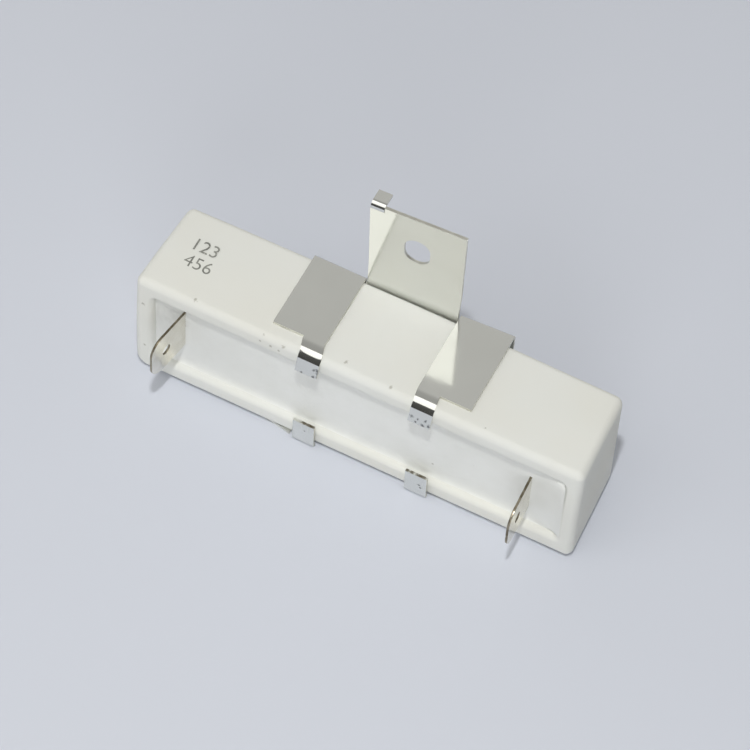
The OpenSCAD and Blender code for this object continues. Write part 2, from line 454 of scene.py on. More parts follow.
class Effects:
    """Shader node groups that the finishes share."""

    CLOUD_DETAIL = 3.0
    CLOUD_BAND = (0.35, 0.65)  # part of the noise's range that is spread out
    SPECK_CORE = 0.45  # share of a speck's size that is full
    LINE_STRETCH = (1.0, 0.03, 0.03)
    LINE_MIDDLE = 0.5  # value of the noise that the lines follow
    BREAK_SCALE = 260.0
    BREAK_BAND = (0.48, 0.62)
    RIM_SCALE = 2600.0
    RIM_BAND = (0.3, 0.7)
    RIM_RANGE = (0.55, 1.3)  # factors on the distance from a spot's centre
    SPOT_CORE = 0.35  # share of a spot's radius that is full

    def __init__(self) -> None:
        """Builds the groups."""
        self.cloud = self._cloud()
        self.specks = self._specks()
        self.lines = self._lines()
        self.spot = self._spot()

    @staticmethod
    def _start(
        name: str, output: str, numbers: Names, points: Names = ("Place",),
    ) -> tuple[Graph, dict[str, Socket]]:
        """Starts a group.

        Args:
            name: the group's name.
            output: name of its output.
            numbers: names of its number inputs.
            points: names of its inputs that are places.

        Returns:
            The group's graph and its input sockets by name.
        """
        graph = Graph(bpy.data.node_groups.new(name, "ShaderNodeTree"))
        graph.declare(points, numbers, output, Kind.NUMBER)
        return graph, dict(graph.add("NodeGroupInput").outputs.items())

    def _cloud(self) -> Tree:
        """Makes a soft variation between two values.

        Returns:
            The group.
        """
        graph, feed = self._start("soft_variation", "Value", ("Scale", "Low", "High"))
        cloud = graph.noise(feed["Place"], feed["Scale"], self.CLOUD_DETAIL)
        return graph.close(graph.remap(cloud, *self.CLOUD_BAND, feed["Low"], feed["High"]))

    def _specks(self) -> Tree:
        """Makes scattered small specks.

        Returns:
            The group.
        """
        graph, feed = self._start("scattered_specks", "Mask", ("Scale", "Share", "Size"))
        cells = graph.add("ShaderNodeTexVoronoi", {"Vector": feed["Place"], "Scale": feed["Scale"]})
        chance = graph.add("ShaderNodeSeparateColor", {0: cells.outputs["Color"]}).outputs[0]
        chosen = graph.math("LESS_THAN", chance, feed["Share"])
        core = graph.math("MULTIPLY", feed["Size"], self.SPECK_CORE)
        shape = graph.remap(cells.outputs["Distance"], core, feed["Size"], 1.0, 0.0)
        return graph.close(graph.math("MULTIPLY", chosen, shape))

    def _lines(self) -> Tree:
        """Makes fine broken lines that run along the depth and the height.

        Returns:
            The group.
        """
        graph, feed = self._start("fine_lines", "Mask", ("Scale", "Width"))
        place = {0: feed["Place"], 1: self.LINE_STRETCH}
        stretched = graph.add("ShaderNodeVectorMath", place, operation="MULTIPLY").outputs[0]
        off = graph.math("SUBTRACT", graph.noise(stretched, feed["Scale"]), self.LINE_MIDDLE)
        thin = graph.remap(graph.math("ABSOLUTE", off), 0.0, feed["Width"], 1.0, 0.0)
        breaks = graph.noise(feed["Place"], self.BREAK_SCALE)
        return graph.close(graph.math("MULTIPLY", thin, graph.remap(breaks, *self.BREAK_BAND, 0.0, 1.0)))

    def _spot(self) -> Tree:
        """Makes one small spot with an uneven rim.

        Returns:
            The group.
        """
        graph, feed = self._start("single_spot", "Mask", ("Radius",), ("Place", "Centre"))
        ends = {0: feed["Place"], 1: feed["Centre"]}
        off = graph.add("ShaderNodeVectorMath", ends, operation="DISTANCE").outputs["Value"]
        rim = graph.remap(graph.noise(feed["Place"], self.RIM_SCALE), *self.RIM_BAND, *self.RIM_RANGE)
        core = graph.math("MULTIPLY", feed["Radius"], self.SPOT_CORE)
        return graph.close(graph.remap(graph.math("MULTIPLY", rim, off), core, feed["Radius"], 1.0, 0.0))


class Coat:
    """A material under construction, with the colour and the roughness that it has so far."""

    def __init__(self, name: str, effects: Effects, stand: Stand) -> None:
        """Starts an empty material.

        Args:
            name: the material's name.
            effects: the shared node groups.
            stand: the frame, for marks at fixed places.
        """
        self.material = bpy.data.materials.new(name)
        self.graph = Graph.of(self.material)
        self.effects = effects
        self.stand = stand
        self.place = self.graph.add("ShaderNodeTexCoord").outputs["Object"]
        self.colour: Socket | None = None
        self.gloss: Socket | None = None

    def effect(self, group: Tree, **inputs: object) -> Socket:
        """Places a shared effect with its own values and gives what it puts out."""
        return self.graph.add("ShaderNodeGroup", {"Place": self.place, **inputs}, node_tree=group).outputs[0]

    def cloud(self, scale: float, low: float, high: float) -> Socket:
        """Places the soft variation between two values and gives what it puts out."""
        return self.effect(self.effects.cloud, Scale=scale, Low=low, High=high)

    def tint(self, mask: Socket, depth: float, tone: Tone) -> None:
        """Mixes a tone into the colour where a mask says, to a depth from 0 to 1."""
        share = self.graph.math("MULTIPLY", mask, depth)
        self.colour = self.graph.mix(share, self.colour, tone.linear())


@dataclass(frozen=True)
class Finish:
    """What every finish has: its name, its tones, its gloss, its relief and its stains."""

    name: str
    tone: Tone
    second: Tone  # tone that the first drifts to
    gloss: Flat  # least and greatest roughness
    specular: float = 0.5
    metallic: float = 0.0
    cloud: float = 140.0  # scale of the drift in tone
    gloss_cloud: float = 2.3  # scale of the drift in gloss, as a multiple of cloud
    grain: float = 2400.0  # scale of the fine relief
    relief: float = 0.006
    relief_cloud: float = 0.0  # height of the broad relief
    stain_tone: Tone = Tone(158, 154, 142)
    stain_depth: float = 0.65
    stains: tuple[Spot, ...] = ()  # place and radius of each

    def material(self, effects: Effects, stand: Stand) -> Material:
        """Builds the material.

        Args:
            effects: the shared node groups.
            stand: the frame, for marks at fixed places.

        Returns:
            The material.
        """
        coat = Coat(self.name, effects, stand)
        graph = coat.graph
        coat.colour = graph.mix(coat.cloud(self.cloud, 0.0, 1.0), self.tone.linear(), self.second.linear())
        coat.gloss = coat.cloud(self.cloud * self.gloss_cloud, *self.gloss)
        fine = coat.cloud(self.grain, 0.0, self.relief)
        broad = coat.cloud(self.cloud, 0.0, self.relief_cloud)
        height = graph.math("ADD", fine, broad)
        self._mark(coat)
        bump = graph.add("ShaderNodeBump", {"Height": height, "Strength": 1.0, "Distance": MM})
        shader = graph.add("ShaderNodeBsdfPrincipled", {
            "Base Color": coat.colour, "Roughness": coat.gloss, "Metallic": self.metallic,
            "Normal": bump.outputs[0], "Specular IOR Level": self.specular,
        })
        graph.add("ShaderNodeOutputMaterial", {"Surface": shader.outputs[0]})
        return coat.material

    def _mark(self, coat: Coat) -> None:
        """Adds the stains to the colour.

        Args:
            coat: the material under construction.
        """
        for x, y, z, radius in self.stains:
            centre = coat.stand.at((x, y, z))
            stain = coat.effect(coat.effects.spot, Centre=centre, Radius=radius * MM)
            coat.tint(stain, self.stain_depth, self.stain_tone)


@dataclass(frozen=True)
class PottedFinish(Finish):
    """A pale mineral surface with scattered specks."""

    speck_tone: Tone = Tone(150, 140, 118)
    speck_depth: float = 0.75
    speck_scale: float = 420.0
    speck_share: float = 0.03
    speck_size: float = 0.11

    def _mark(self, coat: Coat) -> None:
        """Adds the specks to the colour, under the stains.

        Args:
            coat: the material under construction.
        """
        sizes = {"Scale": self.speck_scale, "Share": self.speck_share, "Size": self.speck_size}
        coat.tint(coat.effect(coat.effects.specks, **sizes), self.speck_depth, self.speck_tone)
        super()._mark(coat)


@dataclass(frozen=True)
class PlatedFinish(Finish):
    """Plated metal with fine lines, rubbed dull where it stands in front of the lip."""

    line_scale: float = 900.0
    line_width: float = 0.012
    line_gloss: float = 0.12
    rubbed_gloss: float = 0.0
    rubbed_band: Flat = (-0.3, 0.2)  # depths between which the rubbing ends

    def _mark(self, coat: Coat) -> None:
        """Adds the lines and the rubbed fronts to the roughness, and the stains to the colour.

        Args:
            coat: the material under construction.
        """
        graph = coat.graph
        lines = coat.effect(coat.effects.lines, Scale=self.line_scale, Width=self.line_width)
        gloss = graph.math("ADD", coat.gloss, graph.math("MULTIPLY", lines, self.line_gloss))
        depth = graph.add("ShaderNodeSeparateXYZ", {0: coat.place}).outputs["Y"]
        band = (coat.stand.lip + place * MM for place in self.rubbed_band)
        coat.gloss = graph.math("ADD", gloss, graph.remap(depth, *band, self.rubbed_gloss, 0.0))
        super()._mark(coat)


@dataclass(frozen=True)
class Ring:
    """A rounded rectangle across the case at one depth."""

    depth: float
    half: float
    low: float
    high: float
    radius: float
    shift: float = 0.0
    toe: float = 0.0  # added to the radius of the lower left corner

    def points(self, along: int, up: int, turn: int = 6) -> list[Point]:
        """Lists its points, counter-clockwise as seen from the front.

        Args:
            along: steps along the top and the bottom.
            up: steps along each end.
            turn: steps in each corner.

        Returns:
            The points, always in the same order.
        """
        radius, x = self.radius, self.half - self.radius
        low, high, toe = self.low + radius, self.high - radius, self.toe
        corners = [
            arc((x, low), radius, -90, 0, turn), arc((x, high), radius, 0, 90, turn),
            arc((-x, high), radius, 90, 180, turn), arc((toe - x, low + toe), radius + toe, 180, 270, turn),
        ]
        outline: list[Flat] = []
        for place, corner in enumerate(corners):
            outline += corner
            ends = list(zip(corner[-1], corners[(place + 1) % len(corners)][0]))
            steps = up if place % 2 == 0 else along
            for i in range(1, steps):
                outline.append(tuple(start + (stop - start) * (i / steps) for start, stop in ends))
        return [(x + self.shift, self.depth, z) for x, z in outline]


@dataclass(frozen=True)
class Case:
    """The ceramic trough; its box comes from the frame."""

    length: float
    height: float
    depth: float
    bottom: float
    end_draft: float = 0.75
    end_wall: float = 3.4
    side_wall: float = 4.2
    back_wall: float = 3.2
    edge_radius: float = 1.5
    back_radius: float = 1.0
    back_swell: float = 0.15  # how far the back stands out behind the box
    back_bow: float = 0.6  # how far the top's back corners drop
    back_insets: tuple[float, ...] = (8.0, 3.0, 0.8)
    toe: float = 1.5
    low_share: float = 0.65  # of the lip's rounding, at the bottom
    left_thickening: float = 0.4
    lip_run: float = 1.7
    lip_drop: float = 1.6
    lip_set: float = 0.75  # how far the lip leans back at the top
    lip_reach: float = 7.0  # depth at which that lean ends
    mouth_radius: float = 1.15
    cavity_radius: float = 0.9
    floor_inset: float = 3.0
    least_radius: float = 0.15
    unevenness: float = 0.035
    wave: float = 9.0
    ring_steps: tuple[int, int] = (36, 10)
    edge_steps: int = 9
    side_steps: int = 8
    lip_steps: int = 12
    mouth_steps: int = 8
    floor_steps: int = 5
    wall_depths: tuple[float, ...] = (0.25, 0.5)  # shares of the way from mouth to floor

    @classmethod
    def of_frame(cls) -> Case:
        """Reads the case's box from the frame."""
        low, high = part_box("ceramic_case")
        return cls((high.x - low.x) / MM, (high.z - low.z) / MM, (high.y - low.y) / MM, low.z / MM)

    @property
    def top(self) -> float:
        """Height of the top face."""
        return self.bottom + self.height

    @property
    def cavity_back(self) -> float:
        """Depth of the trough's floor."""
        return self.depth - self.back_wall

    def set_back(self, height: float) -> float:
        """Gives how far the lip lies behind its plane at a height; it leans back towards the top."""
        return self.lip_set * ease(clamp(2 * (height - self.bottom) / self.height - 1))

    def outer(self, depth: float, end_inset: float, side_inset: float) -> Ring:
        """Gives the outline of the outside.

        Args:
            depth: where along Y.
            end_inset: how far the outline lies inside the ends.
            side_inset: how far it lies inside the top and the bottom.

        Returns:
            The outline.
        """
        lean = self.end_draft * (depth - self.edge_radius) / (self.depth - 2 * self.edge_radius)
        radius = max(self.edge_radius - max(end_inset, side_inset), self.least_radius)
        half = self.length / 2 - lean - end_inset
        low = self.bottom + side_inset * self.low_share
        return Ring(depth, half, low, self.top - side_inset, radius, toe=self.toe)

    def trough(self, depth: float, grow: float) -> Ring:
        """Gives the outline of the trough.

        Args:
            depth: where along Y.
            grow: how far the outline lies outside the trough's walls.

        Returns:
            The outline.
        """
        shift = self.left_thickening / 2
        half = self.length / 2 - self.end_wall - shift - self.end_draft * depth / self.cavity_back + grow
        radius = max(self.cavity_radius + grow, self.least_radius)
        low, high = self.bottom + self.side_wall - grow, self.top - self.side_wall + grow
        return Ring(depth, half, low, high, radius, shift)

    def floor_rings(self) -> list[Ring]:
        """Lists the outlines from the trough's walls round its lower corner to its floor.

        Returns:
            The outlines, from front to back.
        """
        radius = self.cavity_radius
        return [
            self.trough(self.cavity_back - radius * (1 - math.sin(a)), radius * (math.cos(a) - 1))
            for a in quarter(self.floor_steps)
        ]

    def _rings(self) -> list[Ring]:
        """Lists all outlines, from the middle of the back over the lip to the trough's floor.

        Returns:
            The outlines.
        """
        edge, mouth, run = self.edge_radius, self.mouth_radius, self.lip_run
        rear = self.depth + self.back_swell
        rings = [self.outer(rear, edge + inset, self.back_radius + inset) for inset in self.back_insets]
        for a in quarter(self.edge_steps):
            left = edge * (1 - math.cos(a))
            rings.append(self.outer(rear - left, edge * (1 - math.sin(a)), rounding(self.back_radius, left)))
        start, way = self.depth - edge, edge + run - self.depth
        rings += [self.outer(start + way * i / self.side_steps, 0.0, 0.0) for i in range(1, self.side_steps)]
        for a in quarter(self.lip_steps):
            left = run * (1 - math.sin(a))
            rings.append(self.outer(left, rounding(edge, left), self.lip_drop * (1 - math.cos(a))))
        for a in quarter(self.mouth_steps):
            rings.append(self.trough(mouth * (1 - math.cos(a)), mouth * (1 - math.sin(a))))
        rings += [self.trough(mouth + (self.cavity_back - mouth) * share, 0.0) for share in self.wall_depths]
        floor = self.trough(self.cavity_back, -self.cavity_radius - self.floor_inset)
        return rings + self.floor_rings() + [floor]

    def build(self, stand: Stand, material: Material) -> Piece:
        """Builds the trough.

        Args:
            stand: the frame.
            material: the ceramic.

        Returns:
            The piece.
        """
        shell = Shell()
        shell.stack([ring.points(*self.ring_steps) for ring in self._rings()])
        shell.weld()
        for vertex in shell.mesh.verts:
            vertex.co.y += self.set_back(vertex.co.z) * max(1 - vertex.co.y / self.lip_reach, 0.0)
            if vertex.co.z > self.top - self.edge_radius:
                behind = clamp(2 * vertex.co.y / self.depth - 1)
                vertex.co.z -= self.back_bow * (2 * vertex.co.x / self.length) ** 2 * behind
        piece = shell.piece("case_body", stand, [material])
        roughen(piece, self.unevenness, self.wave)
        hand_over(piece, Slot.CASE, "ceramic_case")
        return piece


@dataclass(frozen=True)
class Terminal:
    """A tab terminal: a run welded to the cap, a bend at the cement and the splayed blade."""

    side: Side
    inset: float  # from the case's end to the welded run
    headroom: float  # from the trough's upper wall to the blade
    splay: float
    jog: float  # how far the blade's root stands to the right of the welded run
    width: float
    thickness: float = 0.5
    reach: float = 8.2  # of the nose in front of the lip
    nose_radius: float = 3.3
    hole: float = 2.2
    hole_back: float = 4.3  # from the nose to the hole's middle
    edge: float = 0.07
    nose_steps: int = 18
    hole_steps: int = 20

    def across(self, case: Case, inwards: float = 0.0) -> float:
        """Gives the X of the welded run's outer face, or of a place that far inside it."""
        return self.side.value * (case.length / 2 - self.inset - inwards)

    def middle(self, case: Case) -> float:
        """Gives the height of the blade's middle."""
        return case.top - case.side_wall - self.headroom - self.width / 2

    def build(self, stand: Stand, case: Case, cement: Cement, materials: Sequence[Material]) -> Piece:
        """Builds the terminal.

        Args:
            stand: the frame.
            case: the trough that it stands in.
            cement: the cement that holds it.
            materials: the faces and the cut edges.

        Returns:
            The piece.
        """
        pivot = cement.recess + self.thickness
        foot = Vector((self.across(case) + self.jog, pivot, self.middle(case)))
        weld = foot - Vector((self.jog, 0.0, 0.0))
        turn = math.radians(self.splay)
        along = Vector((self.side.value * math.sin(turn), -math.cos(turn), 0.0))
        length = (self.reach + pivot - self.thickness * math.sin(turn)) / math.cos(turn)
        run = cement.element(stand)[0] + cement.cap_radius - pivot
        shell = Shell()
        for outline in self._halves(length):
            shell.face(foot + along * u + Vector((0.0, 0.0, w)) for u, w in outline)
        for low, high in ((-self.width / 2, 0.0), (0.0, self.width / 2)):
            near = [foot + Vector((0.0, 0.0, z)) for z in (low, high)]
            shell.face(near + [weld + Vector((0.0, run, z)) for z in (high, low)])
        shell.weld()
        shell.turn_to((self.side.value, 0.0, 0.0))
        end = self.side.name.lower()
        piece = shell.piece(f"terminal_blade_{end}", stand, materials)
        thicken(piece, self.thickness, self.edge)
        hand_over(piece, Slot.STRIP, f"terminal_{end}")
        return piece

    def _halves(self, length: float) -> list[list[Flat]]:
        """Lists the outlines of the blade's upper and lower half, cut through its hole.

        Args:
            length: length of the blade from its bend to its nose.

        Returns:
            Both outlines, along the blade and up from its middle.
        """
        upper = [(0.0, 0.0), (0.0, self.width / 2)]
        nose = (length - self.nose_radius, self.width / 2 - self.nose_radius)
        upper += arc(nose, self.nose_radius, 90, 0, self.nose_steps)
        upper += [(length, 0.0)]
        upper += arc((length - self.hole_back, 0.0), self.hole / 2, 0, 180, self.hole_steps)
        return [upper, [(u, -w) for u, w in upper]]


@dataclass(frozen=True)
class Cement:
    """The cement in the trough: its face lies behind the lip and rises at the rim and the right end."""

    recess: float = 1.85  # of the face behind the lip
    rise: float = 0.6  # of the rim in front of the face
    rim_angle: float = 6.0  # where on its curve the rim meets the wall
    reach: float = 2.2  # width of the rim
    step: float = 0.75  # between the outlines of the face
    middle_gap: float = 0.1
    right_rise: float = 1.2
    right_run: float = 8.0
    right_spread: float = 6.0  # how soon the right end's rise is full, from the bottom and the top
    cap_radius: float = 5.05
    winding_radius: float = 5.26
    cap_length: float = 6.0
    blade_rise: float = 0.3
    blade_reach: float = 0.5
    face_slack: float = 0.01
    overlap: float = 0.03
    sharp_angle: float = 60.0
    ring_steps: tuple[int, int] = (110, 24)
    rim_steps: int = 8
    wall_steps: int = 5
    hollow_sides: int = 48

    @staticmethod
    def element(stand: Stand) -> Flat:
        """Gives the depth and the height of the element's axis, from the frame."""
        low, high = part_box("core_rod")
        return ((low.y + high.y) / 2 - stand.lip) / MM, (low.z + high.z) / 2 / MM

    def build(self, stand: Stand, case: Case, terminals: Sequence[Terminal], material: Material) -> Piece:
        """Builds the cement, with a hollow for the element.

        Args:
            stand: the frame.
            case: the trough that it fills.
            terminals: the terminals that stand in it.
            material: the cement's finish.

        Returns:
            The piece.
        """
        shell = Shell()
        shell.stack(self._rings(case) + [ring.points(*self.ring_steps) for ring in case.floor_rings()])
        shell.weld()
        self._climb_blades(shell, case, terminals)
        shell.take(self._hollow(stand, case, terminals))
        piece = shell.piece("cement_body", stand, [material])
        piece.data.set_sharp_from_angle(angle=math.radians(self.sharp_angle))
        hand_over(piece, Slot.CEMENT, "cement_fill")
        return piece

    def _rings(self, case: Case) -> list[list[Point]]:
        """Lists the outlines from the middle of the face over its rim and down the walls.

        Args:
            case: the trough.

        Returns:
            The points of each outline.
        """
        first = math.radians(self.rim_angle)
        face = []
        for i in range(self.rim_steps + 1):
            a = first + (math.pi / 2 - first) * i / self.rim_steps
            inset = self.reach * (math.cos(first) - math.cos(a))
            face.append(self._ring(case, self.recess - self.rise * (1 - math.sin(a)), inset))
        count = int((case.height / 2 - case.side_wall - self.reach - self.middle_gap) / self.step)
        face += [self._ring(case, self.recess, self.reach + self.step * i) for i in range(1, count + 1)]
        rim = self.recess - self.rise * (1 - math.sin(first))
        depths = [rim + case.mouth_radius * i / self.wall_steps for i in range(1, self.wall_steps + 1)]
        return face[::-1] + [self._ring(case, depth, 0.0) for depth in depths]

    def _ring(self, case: Case, depth: float, inset: float) -> list[Point]:
        """Lists the points of an outline that follows the set-back lip and rises at the right end.

        Args:
            case: the trough.
            depth: depth of the outline at the left end.
            inset: how far it lies inside the trough's wall.

        Returns:
            The points, out to the trough's wall where that is rounded.
        """
        near = case.trough(depth, self.overlap - inset).points(*self.ring_steps)
        far = case.trough(depth, self.overlap - inset + 1.0).points(*self.ring_steps)
        low, high = case.bottom + case.side_wall, case.top - case.side_wall
        start = case.length / 2 - case.end_wall - self.right_run
        points = []
        for (x, y, z), (far_x, _, far_z) in zip(near, far):
            share = clamp((x - start) / self.right_run)
            middle = clamp(self.right_spread * math.sin(math.pi * (z - low) / (high - low)))
            place = y - self.right_rise * share * share * middle
            wide = rounding(case.mouth_radius, max(place, 0.0))
            upper = clamp(1 - (high - z) / self.reach)
            place += case.set_back(z) * upper * (1 - y / case.lip_reach)
            points.append((x + (far_x - x) * wide, place, z + (far_z - z) * wide))
        return points

    def _climb_blades(self, shell: Shell, case: Case, terminals: Sequence[Terminal]) -> None:
        """Lets the cement's face climb a little up the blades.

        Args:
            shell: the cement so far.
            case: the trough.
            terminals: the terminals.
        """
        highest = case.top - case.side_wall - self.blade_reach
        for vertex in shell.mesh.verts:
            if vertex.co.y > self.recess + self.face_slack or vertex.co.z > highest:
                continue
            for terminal in terminals:
                beside = vertex.co.x - terminal.across(case, terminal.thickness / 2) - terminal.jog
                above = max(abs(vertex.co.z - terminal.middle(case)) - terminal.width / 2, 0.0)
                vertex.co.y -= self.blade_rise * math.exp(-math.hypot(beside, above) / self.blade_reach)

    def _hollow(self, stand: Stand, case: Case, terminals: Sequence[Terminal]) -> Shell:
        """Makes the hollow round the element.

        Args:
            stand: the frame.
            case: the trough.
            terminals: the terminals, between which the element lies.

        Returns:
            The hollow, with its faces towards the element.
        """
        left, right = sorted(terminal.across(case, terminal.thickness) for terminal in terminals)
        cap, winding, sides = self.cap_radius, self.winding_radius, self.hollow_sides
        inner_left, inner_right = left + self.cap_length, right - self.cap_length
        steps = (
            (left, cap), (inner_left, cap), (inner_left, winding),
            (inner_right, winding), (inner_right, cap), (right, cap),
        )
        hollow = Shell()
        rings = [(x, arc(self.element(stand), r, 0, 360 - 360 / sides, sides - 1)) for x, r in steps]
        hollow.stack([[(x, y, z) for y, z in ring] for x, ring in rings])
        hollow.weld()
        hollow.reverse()
        return hollow


@dataclass(frozen=True)
class Winding:
    """The resistance wire on its rod."""

    wire_radius: float = 0.3
    rod_radius: float = 4.5
    pitch: float = 1.8
    clear: float = 0.16
    turn_steps: int = 24
    wire_sides: int = 8

    def build(self, material: Material) -> Piece:
        """Winds the wire from cap to cap.

        Args:
            material: the wire's finish.

        Returns:
            The piece.
        """
        low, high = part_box("resistance_winding")
        span = high.x - low.x - 2 * self.wire_radius * MM
        tree, sockets = self._tree(material)
        piece = show("wire_winding", bpy.data.meshes.new("wire_winding"))
        maker = piece.modifiers.new("winding", "NODES")
        maker.node_group = tree
        maker[sockets["Turns"]] = span / (self.pitch * MM)
        maker[sockets["Radius"]] = (self.rod_radius + self.wire_radius + self.clear) * MM
        maker[sockets["Length"]] = span
        maker[sockets["Wire Radius"]] = self.wire_radius * MM
        maker[sockets["Start"]] = (low.x + self.wire_radius * MM, (low.y + high.y) / 2, (low.z + high.z) / 2)
        settle(piece)
        hand_over(piece, Slot.WIRE, "resistance_winding")
        return piece

    def _tree(self, material: Material) -> tuple[Tree, dict[str, str]]:
        """Builds the node tree that winds a wire along X.

        Args:
            material: the wire's finish.

        Returns:
            The tree and the identifiers of its inputs by name.
        """
        graph = Graph(bpy.data.node_groups.new("wound_wire", "GeometryNodeTree"))
        graph.tree.is_modifier = True
        numbers = ("Turns", "Radius", "Length", "Wire Radius")
        sockets = graph.declare(("Start",), numbers, "Geometry", Kind.FORM)
        feed = graph.add("NodeGroupInput").outputs
        path = graph.add("GeometryNodeCurveSpiral", {
            "Resolution": self.turn_steps, "Rotations": feed["Turns"], "Start Radius": feed["Radius"],
            "End Radius": feed["Radius"], "Height": feed["Length"],
        })
        section = graph.add("GeometryNodeCurvePrimitiveCircle", {
            "Resolution": self.wire_sides, "Radius": feed["Wire Radius"],
        })
        wire = graph.add("GeometryNodeCurveToMesh", {
            "Curve": path.outputs[0], "Profile Curve": section.outputs[0], "Fill Caps": True,
        })
        upright_to_level = Euler((0.0, math.pi / 2, 0.0))
        laid = graph.add("GeometryNodeTransform", {
            "Geometry": wire.outputs[0], "Translation": feed["Start"], "Rotation": upright_to_level,
        })
        smooth = graph.add("GeometryNodeSetShadeSmooth", {"Geometry": laid.outputs[0]})
        plain = graph.add("GeometryNodeRealizeInstances", {"Geometry": smooth.outputs[0]})
        dressed = graph.add("GeometryNodeSetMaterial", {"Geometry": plain.outputs[0], "Material": material})
        return graph.close(dressed.outputs[0]), sockets


@dataclass(frozen=True)
class Tongue:
    """The shape of a tongue: how far it is set sideways, its bends (degrees, inner radius) and its face."""

    shift: float
    bends: tuple[Flat, ...]
    face: float
    bend_steps: int = 5

    def path(self, root: Flat) -> list[Flat]:
        """Lists the points of its inner side, level at first.

        Args:
            root: depth and height of its first point.

        Returns:
            Depth and height of each point.
        """
        points, turned = [root], 90.0
        for turn, radius in self.bends:
            y, z = points[-1]
            start = math.radians(turned)
            centre = (y - radius * math.cos(start), z - radius * math.sin(start))
            points += arc(centre, radius, turned, turned + turn, self.bend_steps)[1:]
            turned += turn
        y, z = points[-1]
        lean = math.radians(turned - 90)
        return points + [(y - self.face * math.cos(lean), z - self.face * math.sin(lean))]


